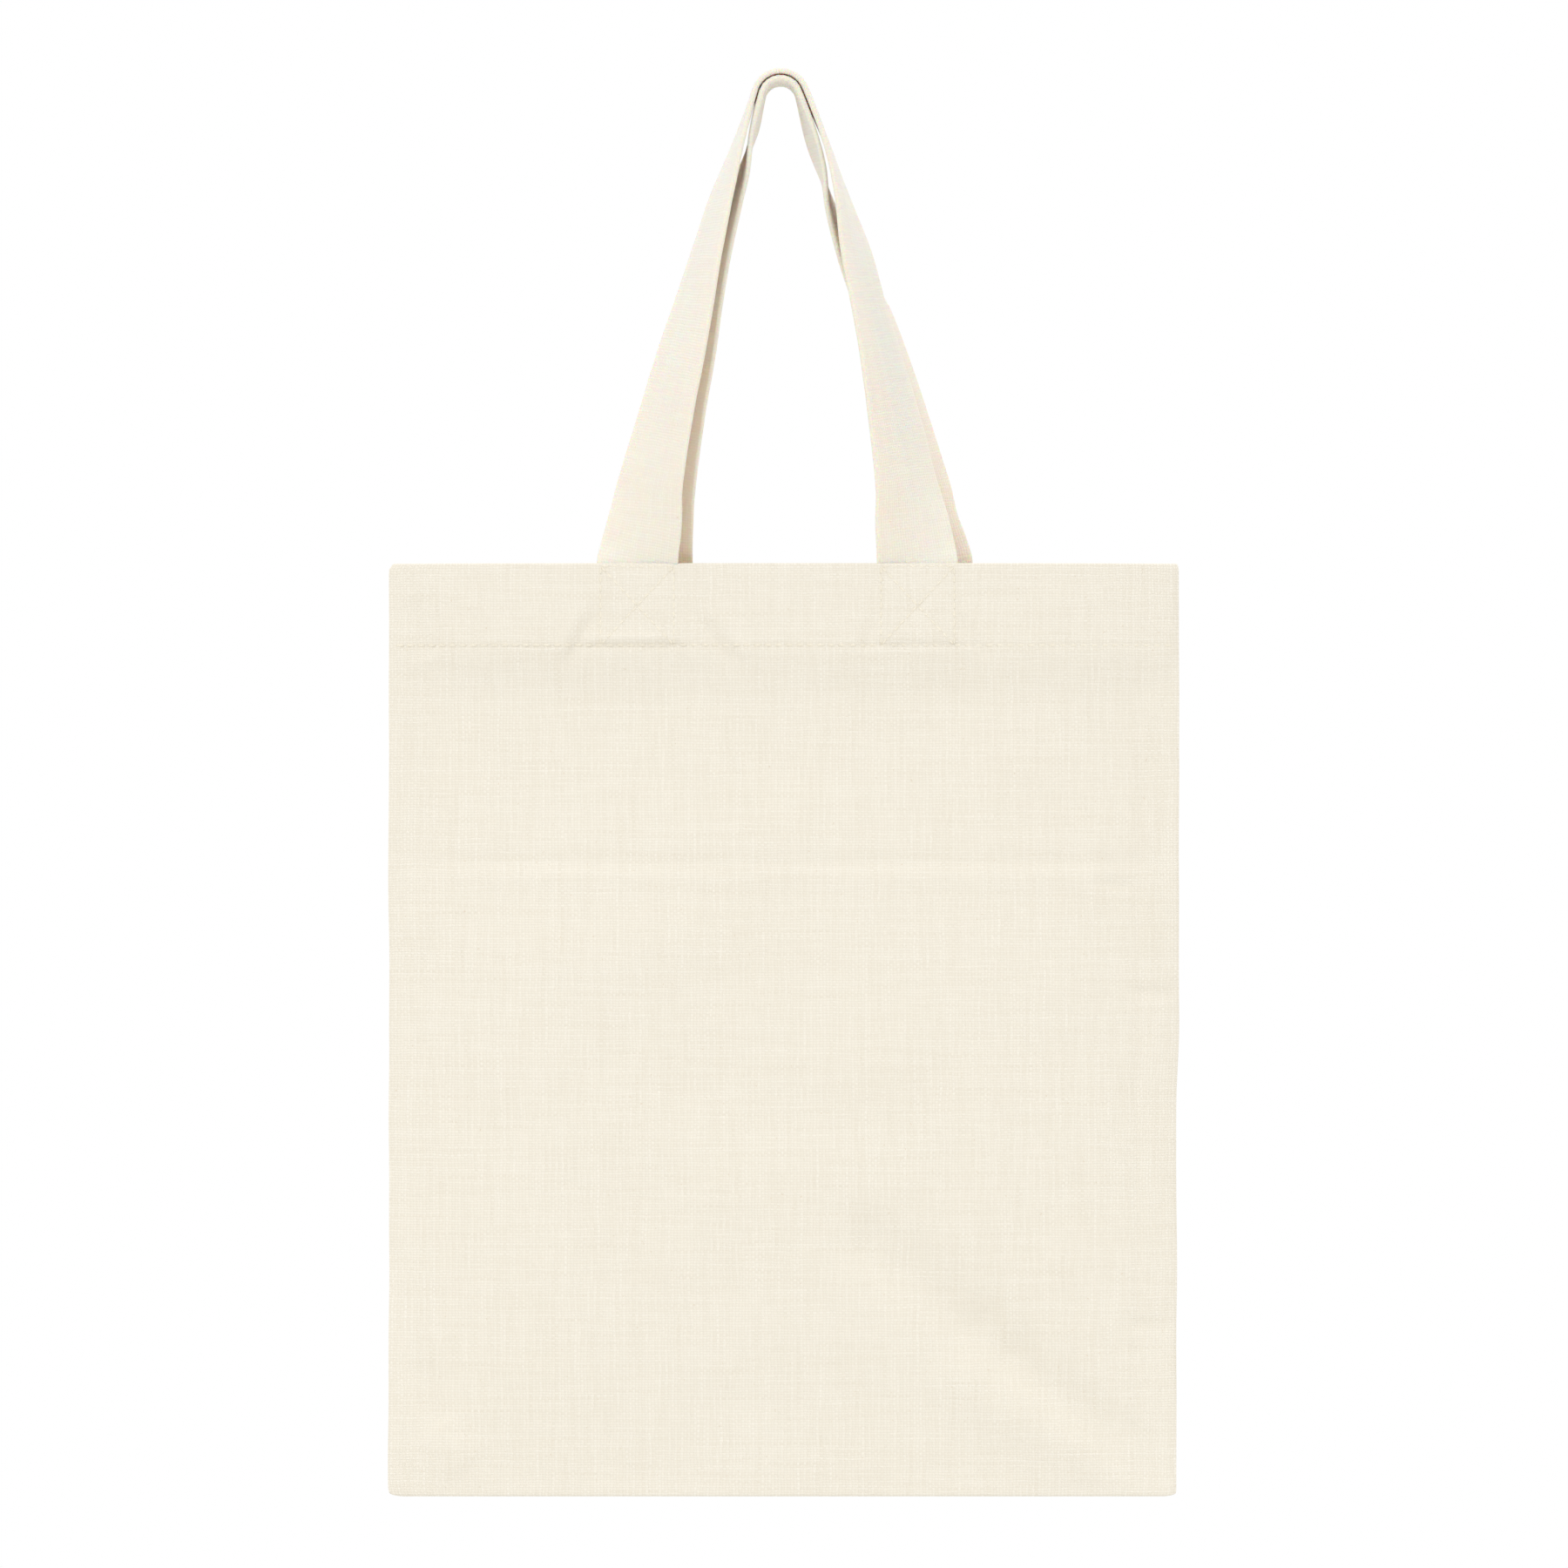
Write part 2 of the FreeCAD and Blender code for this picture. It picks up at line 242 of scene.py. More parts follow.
# everything pressed into one wall, as a distance outwards
def shapeOf(x, z, facing):
    offset = hemShape(x, z, facing)
    for mark in wallMarks[facing]:
        distance, share = distanceToLine(x, z, mark["from"], mark["to"])
        if distance < 2.6 * mark["width"]:
            ends = smooth(share / 0.2) * smooth((1 - share) / 0.2)
            relief = creaseRelief if mark["width"] > 0.0015 else 1.0
            dent = mark["depth"] * math.exp(-((distance / mark["width"]) ** 2))
            offset -= relief * dent * (0.35 + 0.65 * ends)
    for waver in clothWaver:
        spot = Vector((x * waver["across"], z * waver["up"], waver["seed"] + facing))
        offset += waver["depth"] * noise.noise(spot)
    return offset * smooth((z - bag["fold"]) / 0.006 + 0.05)


corners = {
    -1: {"top": 0.0028, "bottom": 0.0028, "waver": 0.00045, "drawIn": 0.0},
    1: {"top": 0.0014, "bottom": 0.0021, "waver": 0.00035, "drawIn": 0.0009},
}


# the side edges aren't ruled lines: rounded corners, a little waver, and the right one draws in lower down
def trueX(x, z):
    side = 1 if x > bag["middle"] else -1
    corner = corners[side]
    edge = min(x - bag["left"], bag["right"] - x)
    inset = 0.0
    for radius, away in ((corner["top"], bag["top"] - z), (corner["bottom"], z - foldLow.z)):
        if away < radius:
            inset += radius - math.sqrt(max(radius ** 2 - (radius - max(away, 0.0)) ** 2, 0.0))
    inset += corner["waver"] * noise.noise(Vector((z * 30, side * 5.0, 1.7)))
    inset += corner["drawIn"] * smooth((-0.325 - z) / 0.030)
    return x - side * inset * smooth(1 - edge / 0.030)


# a point in the cloth: inset is measured inwards from the middle of the wall's own cloth
def wallPlace(x, z, facing, inset=0.0):
    swell = bellyAt(x, z) + shapeOf(x, z, facing)
    swell = (swell + math.hypot(swell, bag["edgeGap"]) - bag["edgeGap"]) / 2  # stays clear of the other wall
    stand = (bag["cloth"] / 2 + bag["edgeGap"] + swell - inset) * openingAt(x)
    return Vector((trueX(x, z), facing * stand, z))


def evenly(low, high, step):
    count = max(round(abs(high - low) / step), 1)
    return [low + (high - low) * i / count for i in range(count + 1)]


# the rows of a wall, from the bottom fold up, over the top and down inside as the hem facing
topRoll = bag["facingInset"] / 2
wallTop = bag["top"] - bag["cloth"] / 2 - topRoll
wallHeights = evenly(bag["fold"], bag["hemLine"] - 0.010, 0.00178)[:-1]
wallHeights += evenly(bag["hemLine"] - 0.010, bag["hemLine"] + 0.006, 0.00075)[:-1]
wallHeights += evenly(bag["hemLine"] + 0.006, wallTop, 0.0016)
wallRows = [("wall", z) for z in wallHeights]
wallRows += [("roll", math.radians(angle)) for angle in (30, 60, 90, 120, 150)]
wallRows += [("facing", z) for z in evenly(wallTop, facingLow.z, 0.0025)]
foldRows = [("fold", math.radians(angle)) for angle in range(0, 180, 18)]


def rowPlace(x, row, facing):
    kind, value = row
    if kind == "fold":
        radius = (bag["cloth"] / 2 + bag["edgeGap"]) * openingAt(x)
        z = bag["fold"] - radius * math.sin(value)
        return Vector((trueX(x, z), -facing * radius * math.cos(value), z))
    if kind == "roll":
        z = wallTop + topRoll * math.sin(value)
        return wallPlace(x, z, facing, topRoll * (1 - math.cos(value)))
    return wallPlace(x, value, facing, bag["facingInset"] if kind == "facing" else 0.0)


# columns across a wall, closer together on the side edges
def wallColumns(low, high):
    near = [0.0, 0.00025, 0.0006, 0.0011, 0.0018, 0.0027, 0.0038, 0.0052]
    xs = [bag["left"] + step for step in near]
    xs += evenly(bag["left"] + 0.0068, bag["middle"], 0.00158)
    xs += [2 * bag["middle"] - x for x in reversed(xs[:-1])]
    return [x for x in xs if low - 0.00001 <= x <= high + 0.00001]


# a grid of cloth, with its own UV in metres for the weave
def clothGrid(columns, rows, place, across, along):
    mesh = bmesh.new()
    columnSteps, rowSteps = len(columns) - 1, len(rows) - 1
    bmesh.ops.create_grid(mesh, x_segments=columnSteps, y_segments=rowSteps, size=0.5)
    weave = mesh.loops.layers.uv.new("weave")
    spots = {}
    for vertex in mesh.verts:
        column = round((vertex.co.x + 0.5) * columnSteps)
        row = round((vertex.co.y + 0.5) * rowSteps)
        spots[vertex] = (across[column], along[row])
        vertex.co = place(columns[column], rows[row])
    for face in mesh.faces:
        for loop in face.loops:
            loop[weave].uv = spots[loop.vert]
    return mesh


def runLengths(points):
    lengths = [0.0]
    for low, high in zip(points[:-1], points[1:]):
        lengths.append(lengths[-1] + (high - low).length)
    return lengths


def makePiece(name, mesh, material):
    data = bpy.data.meshes.new(name)
    mesh.to_mesh(data)
    mesh.free()
    data.materials.append(material)
    for polygon in data.polygons:
        polygon.use_smooth = True
    piece = bpy.data.objects.new(name, data)
    scene.collection.objects.link(piece)
    return piece


def thicken(piece, thickness):
    solidify = piece.modifiers.new("thickness", "SOLIDIFY")
    solidify.thickness = thickness
    solidify.offset = 0
    solidify.use_even_offset = False
    return piece


# materials

def addNode(tree, kind, **settings):
    node = tree.nodes.new(kind)
    for name, value in settings.items():
        setattr(node, name, value)
    return node


# a Math node whose inputs are links or plain numbers
def calculate(tree, operation, *inputs):
    node = addNode(tree, "ShaderNodeMath", operation=operation)
    for socket, value in zip(node.inputs, inputs):
        if isinstance(value, (int, float)):
            socket.default_value = value
        else:
            tree.links.new(value, socket)
    return node.outputs[0]


def combine(tree, *inputs):
    node = addNode(tree, "ShaderNodeCombineXYZ")
    for socket, value in zip(node.inputs, inputs):
        if isinstance(value, (int, float)):
            socket.default_value = value
        else:
            tree.links.new(value, socket)
    return node.outputs[0]


def noiseOf(tree, vector, scale, detail=2.0, roughness=0.5):
    node = addNode(tree, "ShaderNodeTexNoise")
    node.inputs["Scale"].default_value = scale
    node.inputs["Detail"].default_value = detail
    node.inputs["Roughness"].default_value = roughness
    tree.links.new(vector, node.inputs["Vector"])
    return node.outputs["Fac"]


def startGroup(name, inputs, outputs):
    group = bpy.data.node_groups.new(name, "ShaderNodeTree")
    for label, kind, value in inputs:
        socket = group.interface.new_socket(name=label, in_out="INPUT", socket_type=kind)
        if value is not None:
            socket.default_value = value
    for label in outputs:
        group.interface.new_socket(name=label, in_out="OUTPUT", socket_type="NodeSocketFloat")
    return group, addNode(group, "NodeGroupInput"), addNode(group, "NodeGroupOutput")


# plain weave: one thread over and one under, with thick and thin threads and slubs along them; its Tone
# output adds painted shade in the weave's hollows to the slubs' own tone
def makePlainWeave():
    group, given, result = startGroup("plainWeave", [
        ("Place", "NodeSocketVector", None),
        ("Upright Pitch", "NodeSocketFloat", 0.00114),
        ("Level Pitch", "NodeSocketFloat", 0.0009),
        ("Slubs", "NodeSocketFloat", 1.0),
    ], ["Height", "Tone"])
    place = given.outputs["Place"]
    split = addNode(group, "ShaderNodeSeparateXYZ")
    group.links.new(place, split.inputs[0])
    waver = calculate(group, "MULTIPLY_ADD", noiseOf(group, place, 90.0, 3.0), 1.3, -0.65)
    u = calculate(group, "DIVIDE", split.outputs[0], given.outputs["Upright Pitch"])
    v = calculate(group, "DIVIDE", split.outputs[1], given.outputs["Level Pitch"])
    u = calculate(group, "ADD", u, waver)
    v = calculate(group, "ADD", v, waver)
    upright = calculate(group, "FLOOR", u)
    level = calculate(group, "FLOOR", v)
    crown = {}
    for name, along, thread in (("upright", u, upright), ("level", v, level)):
        crown[name] = calculate(group, "SINE", calculate(
            group, "MULTIPLY", calculate(group, "SUBTRACT", along, thread), math.pi))
    over = {}
    for name, along, thread, sign in (("upright", v, upright, 0.5), ("level", u, level, -0.5)):
        phase = calculate(group, "ADD", calculate(group, "SUBTRACT", along, 0.5), thread)
        turn = calculate(group, "COSINE", calculate(group, "MULTIPLY", phase, math.pi))
        over[name] = calculate(group, "MULTIPLY_ADD", turn, sign, 0.5)
    rise = {name: calculate(group, "MULTIPLY", crown[name], over[name]) for name in crown}
    threadApart, slubLength = 3.71, 0.035  # noise steps from thread to thread, and along one crossing
    uprightSpot = combine(group, calculate(group, "MULTIPLY", upright, threadApart),
                          calculate(group, "MULTIPLY", v, slubLength), 0.3)
    levelSpot = combine(group, calculate(group, "MULTIPLY", u, slubLength),
                        calculate(group, "MULTIPLY", level, threadApart), 5.7)
    uprightTone = noiseOf(group, uprightSpot, 1.0, 3.0, 0.6)
    levelTone = noiseOf(group, levelSpot, 1.0, 3.0, 0.6)
    levelOnTop = calculate(group, "GREATER_THAN", rise["level"], rise["upright"])
    thread = addNode(group, "ShaderNodeMix", data_type="FLOAT")
    group.links.new(levelOnTop, thread.inputs[0])
    group.links.new(uprightTone, thread.inputs[2])
    group.links.new(levelTone, thread.inputs[3])
    swell = calculate(group, "SUBTRACT", thread.outputs[0], 0.5)
    swell = calculate(group, "MULTIPLY", swell, given.outputs["Slubs"])
    height = calculate(group, "MAXIMUM", rise["upright"], rise["level"])
    height = calculate(group, "MULTIPLY", height, calculate(group, "ADD", swell, 1.0))
    # painted shade: the tone is the threads' own slubby unevenness plus a darkening where the threads dip
    # into the weave's hollows, following the height
    toneAndShade = calculate(group, "ADD", calculate(group, "MULTIPLY_ADD", height, 0.55, 0.1), swell)
    group.links.new(height, result.inputs["Height"])
    group.links.new(toneAndShade, result.inputs["Tone"])
    return group


# handling: uneven natural colour, flecks of seed and loose fibre
def makeHandling():
    inputs, outputs = [("Place", "NodeSocketVector", None)], ["Tone", "Fleck", "Fibre"]
    group, given, result = startGroup("handling", inputs, outputs)
    place = given.outputs["Place"]
    broad = noiseOf(group, place, 14.0, 4.0, 0.6)
    specks = noiseOf(group, place, 900.0, 1.0, 0.5)
    fleck = addNode(group, "ShaderNodeMapRange")
    fleck.inputs["From Min"].default_value = 0.735
    fleck.inputs["From Max"].default_value = 0.80
    group.links.new(specks, fleck.inputs["Value"])
    group.links.new(broad, result.inputs["Tone"])
    group.links.new(fleck.outputs[0], result.inputs["Fleck"])
    group.links.new(noiseOf(group, place, 3200.0, 3.0, 0.7), result.inputs["Fibre"])
    return group


plainWeave = makePlainWeave()
handling = makeHandling()

# light and dark are mixed by the weave's tone: partly the threads' own unevenness, partly painted shade
# where the weave dips
cloths = {
    "bodyCanvas": {"light": (0.950, 0.905, 0.808), "dark": (0.825, 0.766, 0.652), "upright": 0.00114,
                   "level": 0.00090, "slubs": 1.15, "bump": 0.70, "rough": 0.88, "glow": 0.0},
    "foldedCanvas": {"light": (0.946, 0.901, 0.804), "dark": (0.821, 0.762, 0.648), "upright": 0.00114,
                     "level": 0.00090, "slubs": 1.05, "bump": 0.65, "rough": 0.88, "glow": 0.0},
    "strapCanvas": {"light": (0.912, 0.874, 0.808), "dark": (0.836, 0.780, 0.684), "upright": 0.00090,
                    "level": 0.00100, "slubs": 0.9, "bump": 0.55, "rough": 0.86, "glow": 0.70},
    "sewnCanvas": {"light": (0.940, 0.893, 0.795), "dark": (0.850, 0.790, 0.676), "upright": 0.00090,
                   "level": 0.00100, "slubs": 0.9, "bump": 0.55, "rough": 0.86, "glow": 0.0},
}


glow = {"tint": (1.0, 0.50, 0.20), "depth": 0.0035}  # warm light through the strap's cloth


def mixColours(tree, factor, first, second, blend="MIX"):
    node = addNode(tree, "ShaderNodeMix", data_type="RGBA", blend_type=blend)
    for index, value in ((0, factor), (6, first), (7, second)):
        if isinstance(value, (int, float)):
            node.inputs[index].default_value = value
        elif isinstance(value, tuple):
            node.inputs[index].default_value = (*value, 1.0)
        else:
            tree.links.new(value, node.inputs[index])
    return node.outputs[2]


def makeCloth(name, look):
    material = bpy.data.materials.new(name)
    material.use_nodes = True
    tree = material.node_tree
    shader = tree.nodes["Principled BSDF"]
    shader.inputs["Sheen Weight"].default_value = 0.08
    shader.inputs["Sheen Roughness"].default_value = 0.6
    shader.inputs["Specular IOR Level"].default_value = 0.2
    shader.inputs["Subsurface Weight"].default_value = look["glow"]
    shader.inputs["Subsurface Radius"].default_value = glow["tint"]
    shader.inputs["Subsurface Scale"].default_value = glow["depth"]
    threads = addNode(tree, "ShaderNodeGroup", node_tree=plainWeave)
    threads.inputs["Upright Pitch"].default_value = look["upright"]
    threads.inputs["Level Pitch"].default_value = look["level"]
    threads.inputs["Slubs"].default_value = look["slubs"]
    lengths = addNode(tree, "ShaderNodeUVMap", uv_map="weave")
    tree.links.new(lengths.outputs[0], threads.inputs["Place"])
    wear = addNode(tree, "ShaderNodeGroup", node_tree=handling)
    where = addNode(tree, "ShaderNodeTexCoord")
    tree.links.new(where.outputs["Object"], wear.inputs["Place"])
    # the base colour from the weave's tone carries painted shade in the hollows between the crossings
    colour = mixColours(tree, threads.outputs["Tone"], look["dark"], look["light"])
    uneven = calculate(tree, "MULTIPLY_ADD", wear.outputs["Tone"], 0.5, 0.0)
    colour = mixColours(tree, uneven, colour, (0.975, 0.968, 0.945), "MULTIPLY")
    fleck = calculate(tree, "MULTIPLY", wear.outputs["Fleck"], 0.30)
    colour = mixColours(tree, fleck, colour, (0.62, 0.47, 0.30))
    tree.links.new(colour, shader.inputs["Base Color"])
    rough = calculate(tree, "MULTIPLY_ADD", threads.outputs["Tone"], -0.08, look["rough"] + 0.05)
    tree.links.new(rough, shader.inputs["Roughness"])
    bump = addNode(tree, "ShaderNodeBump")
    bump.inputs["Strength"].default_value = look["bump"]
    bump.inputs["Distance"].default_value = 0.00022
    height = calculate(tree, "MULTIPLY_ADD", wear.outputs["Fibre"], 0.25, threads.outputs["Height"])
    tree.links.new(height, bump.inputs["Height"])
    tree.links.new(bump.outputs[0], shader.inputs["Normal"])
    return material


def makeThread(name):
    material = bpy.data.materials.new(name)
    material.use_nodes = True
    tree = material.node_tree
    shader = tree.nodes["Principled BSDF"]
    shader.inputs["Sheen Weight"].default_value = 0.15
    shader.inputs["Specular IOR Level"].default_value = 0.3
    where = addNode(tree, "ShaderNodeTexCoord")
    wear = addNode(tree, "ShaderNodeGroup", node_tree=handling)
    tree.links.new(where.outputs["Object"], wear.inputs["Place"])
    twist = addNode(tree, "ShaderNodeTexWave", bands_direction="DIAGONAL")
    twist.inputs["Scale"].default_value = 700.0
    twist.inputs["Distortion"].default_value = 1.5
    tree.links.new(where.outputs["Object"], twist.inputs["Vector"])
    # painted shade: the colour darkens in the grooves between the twisted plies, along with the bump; the
    # handling noise adds the thread's own uneven tone
    plyShade = calculate(tree, "MULTIPLY", twist.outputs[1], 0.5)
    toneAndShade = calculate(tree, "MULTIPLY_ADD", wear.outputs["Tone"], 0.5, plyShade)
    colour = mixColours(tree, toneAndShade, (0.86, 0.79, 0.64), (0.96, 0.915, 0.80))
    tree.links.new(colour, shader.inputs["Base Color"])
    rough = calculate(tree, "MULTIPLY_ADD", toneAndShade, -0.15, 0.80)
    tree.links.new(rough, shader.inputs["Roughness"])
    bump = addNode(tree, "ShaderNodeBump")
    bump.inputs["Strength"].default_value = 0.5
    bump.inputs["Distance"].default_value = 0.0001
    tree.links.new(twist.outputs[1], bump.inputs["Height"])
    tree.links.new(bump.outputs[0], shader.inputs["Normal"])
    return material


materials = {name: makeCloth(name, look) for name, look in cloths.items()}
materials["cottonThread"] = makeThread("cottonThread")
print("materials made")


# the body: one front sheet with the fold and hem, and the back in two halves

def makeWall(name, facing, low, high, rows):
    columns = wallColumns(low, high)
    lengths = runLengths([rowPlace(bag["middle"], row, facing) for row in rows])
    mesh = clothGrid(columns, rows, lambda x, row: rowPlace(x, row, facing), columns, lengths)
    turnedIn = lengths[[kind for kind, value in rows].index("facing")]
    weave = mesh.loops.layers.uv["weave"]
    beside = []  # the hem's turned-in part stops short of the side seams
    for face in mesh.faces:
        centre = face.calc_center_median()
        nearSeam = min(centre.x - bag["left"], bag["right"] - centre.x) < bag["facingClear"]
        below = centre.z < facingHigh.z - 0.004
        if nearSeam and below and min(loop[weave].uv.y for loop in face.loops) > turnedIn - 0.0001:
            beside.append(face)
    bmesh.ops.delete(mesh, geom=beside, context="FACES")
    for edge in mesh.edges:
        edge.smooth = not edge.is_boundary  # the two halves of the back meet without a shaded line
    piece = makePiece(name, mesh, materials["bodyCanvas"])
    return thicken(piece, bag["cloth"])


frontWall = makeWall("frontWall", -1, bag["left"], bag["right"], foldRows + wallRows)
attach(frontWall, "bag_front")
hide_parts("front_panel", "bottom_fold", "front_hem_facing")

bendWidth = 0.072  # a width beside each seam; its two ends are read below, but nothing bends the back wall
mouthBend = {
    "left": (bag["left"], bag["left"] + bendWidth),
    "right": (bag["right"], bag["right"] - bendWidth),
}
backHalves = {"left": (bag["left"], bag["middle"]), "right": (bag["middle"], bag["right"])}
for side, (low, high) in backHalves.items():
    piece = makeWall("backWall" + side.capitalize(), 1, low, high, wallRows)
    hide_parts("back_panel", "back_hem_facing")
    start, end = mouthBend[side]
    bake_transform(piece)
print("body cloth made")


# side seams: both cut edges together, inside the front wall

seam = {"start": 0.0018, "end": bag["seamWidth"], "thickness": 0.0009, "inset": 0.00085, "stitchIn": 0.0042}
for side, edge, inwards in (("left", bag["left"], 1), ("right", bag["right"], -1)):
    columns = [edge + inwards * step for step in evenly(seam["start"], seam["end"], 0.0008)]
    heights = evenly(bag["fold"] + 0.002, bag["top"] - 0.0012, 0.003)

    def seamPlace(x, z):
        away = abs(x - edge) / seam["end"]
        lift = 0.00012 * noise.noise(Vector((x * 200, z * 70, 9.0))) * away
        return wallPlace(x, z, -1, seam["inset"] + lift)

    mesh = clothGrid(columns, heights, seamPlace, columns, heights)
    piece = makePiece(side + "Seam", mesh, materials["foldedCanvas"])
    thicken(piece, seam["thickness"])
    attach(piece, "bag_front")
    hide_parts(side + "_side_seam")
print("side seams made")


# handles: a folded strap each, twisting from flat on the hem to edge on over the peg

# the middle of each strap from the hem up to the peg: (z, x, y) in metres and the twist in degrees
straps = {
    "front": {
        "facing": -1, "width": 0.0287, "thickness": 0.0018, "camber": 0.00012,
        "peg": 0.0094, "fullOnPeg": 0.0002, "lean": {-1: -0.0506, 1: 0.0484},
        "left": [
            (-0.1497, -0.0479, -0.0071, 23), (-0.1373, -0.0462, -0.0069, 35),
            (-0.1099, -0.0401, -0.0064, 48), (-0.0895, -0.0350, -0.0059, 54),
            (-0.0740, -0.0310, -0.0055, 60), (-0.0540, -0.0261, -0.0045, 68),
            (-0.0380, -0.0219, -0.0030, 74), (-0.0250, -0.0180, -0.0017, 78),
            (-0.0120, -0.0140, -0.0007, 84),
        ],
        "right": [
            (-0.1497, 0.0465, -0.0071, 24), (-0.1373, 0.0447, -0.0069, 39),
            (-0.1099, 0.0395, -0.0064, 52), (-0.0895, 0.0352, -0.0059, 60),
            (-0.0740, 0.0314, -0.0055, 65), (-0.0560, 0.0273, -0.0046, 69),
            (-0.0380, 0.0230, -0.0030, 79), (-0.0250, 0.0193, -0.0017, 84),
            (-0.0120, 0.0150, -0.0007, 88),
        ],
    },
    "rear": {
        "facing": 1, "width": 0.0287, "thickness": 0.0018, "camber": 0.00012,
        "peg": 0.0068, "fullOnPeg": 0.0004, "lean": {-1: -0.0455, 1: 0.0540},
        "left": [
            (-0.1497, -0.0443, 0.0071, 21), (-0.1373, -0.0419, 0.0069, 35),
            (-0.1099, -0.0361, 0.0064, 48), (-0.0895, -0.0315, 0.0059, 54),
            (-0.0740, -0.0280, 0.0055, 60), (-0.0540, -0.0228, 0.0045, 68),
            (-0.0380, -0.0180, 0.0030, 75), (-0.0250, -0.0132, 0.0017, 83),
            (-0.0120, -0.0096, 0.0007, 92),
        ],
        "right": [
            (-0.1497, 0.0504, 0.0071, 25), (-0.1373, 0.0492, 0.0069, 39),
            (-0.1099, 0.0430, 0.0064, 52), (-0.0895, 0.0376, 0.0059, 60),
            (-0.0740, 0.0324, 0.0055, 64), (-0.0560, 0.0242, 0.0046, 73),
            (-0.0380, 0.0176, 0.0030, 84), (-0.0250, 0.0144, 0.0017, 94),
            (-0.0120, 0.0106, 0.0007, 96),
        ],
    },
}


footShare = 0.33  # how far the station over the hem has moved towards the leg's first one


# the stations of a whole strap, from its left sewn end over the peg to its right one: (middle, turn)
def strapStations(strap):
    facing = strap["facing"]
    legs = {}
    for side, name in ((-1, "left"), (1, "right")):
        x = strap["lean"][side]
        leg = []
        for rise, twist in ((-0.0300, 0), (-0.0180, 0), (-0.0060, 0), (-0.0005, 1.5), (0.0050, 13)):
            z = bag["top"] + rise
            if rise > 0:
                x += footShare * (strap[name][0][1] - x)
            place = wallPlace(x, min(z, bag["top"] - 0.002), facing, bag["strapInset"])
            leg.append((Vector((x, place.y, z)), math.radians(twist)))
        for z, stationX, y, twist in strap[name]:
            leg.append((Vector((stationX, y, z)), math.radians(twist)))
        legs[side] = leg
    over = []
    for angle in (-72, -48, -24, 0, 24, 48, 72):
        turn = math.radians(angle)
        over.append((Vector((strap["peg"] * math.sin(turn), 0, strap["peg"] * math.cos(turn))), math.pi / 2))
    return legs[-1] + over + [(middle, math.pi - turn) for middle, turn in reversed(legs[1])]


# a smooth curve through stations, read at any distance along it
def readBetween(knots, values, distance):
    i = 0
    while i < len(knots) - 2 and distance > knots[i + 1]:
        i += 1

    def slope(k):
        before, after = max(k - 1, 0), min(k + 1, len(knots) - 1)
        return (values[after] - values[before]) / (knots[after] - knots[before])

    span = knots[i + 1] - knots[i]
    t = (distance - knots[i]) / span
    start, end = slope(i) * span, slope(i + 1) * span
    return (values[i] * (2 * t ** 3 - 3 * t ** 2 + 1) + start * (t ** 3 - 2 * t ** 2 + t)
            + values[i + 1] * (3 * t ** 2 - 2 * t ** 3) + end * (t ** 3 - t ** 2))


# the outline of a folded strap: two faces and two rounded fold edges, as (across, through)
def strapOutline(strap):
    half, thick = strap["width"] / 2, strap["thickness"] / 2
    flat = half - thick
    outline = []
    for side in (1, -1):
        for step in range(15):
            across = side * flat * (1 - 2 * step / 14)
            fullness = strap["camber"] * (1 - (across / half) ** 2) - 0.00006 * math.cos(across * 900)
            outline.append((across, side * (thick + fullness)))
        for angle in (30, 60, 90, 120, 150):
            turn = math.radians(angle)
            outline.append((-side * (flat + thick * math.sin(turn)), side * thick * math.cos(turn)))
    return outline + outline[:1]


def makeStrap(name, strap):
    stations = strapStations(strap)
    knots = runLengths([middle for middle, turn in stations])
    middles = [middle for middle, turn in stations]
    turns = [turn for middle, turn in stations]
    outline = strapOutline(strap)
    around = runLengths([Vector((across, through, 0)) for across, through in outline])
    rows = evenly(0.0, knots[-1], 0.0019)

    def strapPlace(spot, distance):
        across, through = outline[spot]
        middle = readBetween(knots, middles, distance)
        ahead = readBetween(knots, middles, min(distance + 0.0005, knots[-1]))
        behind = readBetween(knots, middles, max(distance - 0.0005, 0.0))
        turn = readBetween(knots, turns, distance)
        widthWay = Vector((math.cos(turn), -math.sin(turn), 0))
        along = (ahead - behind).normalized()
        widthWay = (widthWay - along * widthWay.dot(along)).normalized()
        thickWay = widthWay.cross(along)
        free = smooth((middle.z - bag["top"]) / 0.02) * smooth((-0.008 - middle.z) / 0.02)
        onPeg = smooth((middle.z + 0.016) / 0.014)
        fullness = strap["fullOnPeg"] * onPeg * (1 if through > 0 else -1)
        through += fullness * (1 - (across / strap["width"] * 2) ** 6)
        free *= 1 + 3.0 * smooth((middle.z + 0.075) / 0.04)
        buckle = 0.00022 * noise.noise(Vector((distance * 34, across * 45, 3.0 + strap["facing"]))) * free
        bow = 0.00016 * noise.noise(Vector((distance * 30, 8.0, 1.0 + strap["facing"]))) * free
        return middle + widthWay * (across + bow) + thickWay * (through + buckle)

    mesh = clothGrid(list(range(len(outline))), rows, strapPlace, around, rows)
    bmesh.ops.remove_doubles(mesh, verts=mesh.verts, dist=0.000001)
    bmesh.ops.holes_fill(mesh, edges=[edge for edge in mesh.edges if edge.is_boundary], sides=0)
    bmesh.ops.recalc_face_normals(mesh, faces=mesh.faces)
    piece = makePiece(name, mesh, materials["strapCanvas"])
    piece.data.materials.append(materials["sewnCanvas"])
    for polygon in piece.data.polygons:
        if polygon.center.z < bag["top"] - 0.001:
            polygon.material_index = 1  # the sewn ends let no light through
    return piece


for name, strap in straps.items():
    piece = makeStrap(name + "Strap", strap)
    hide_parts(name + "_handle_strap", name + "_handle_left_end", name + "_handle_right_end")
    wall = "bag_front" if name == "front" else "bag_back"
    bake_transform(piece)
print("handles made")


# sewing: every stitch is a small rounded bar of thread

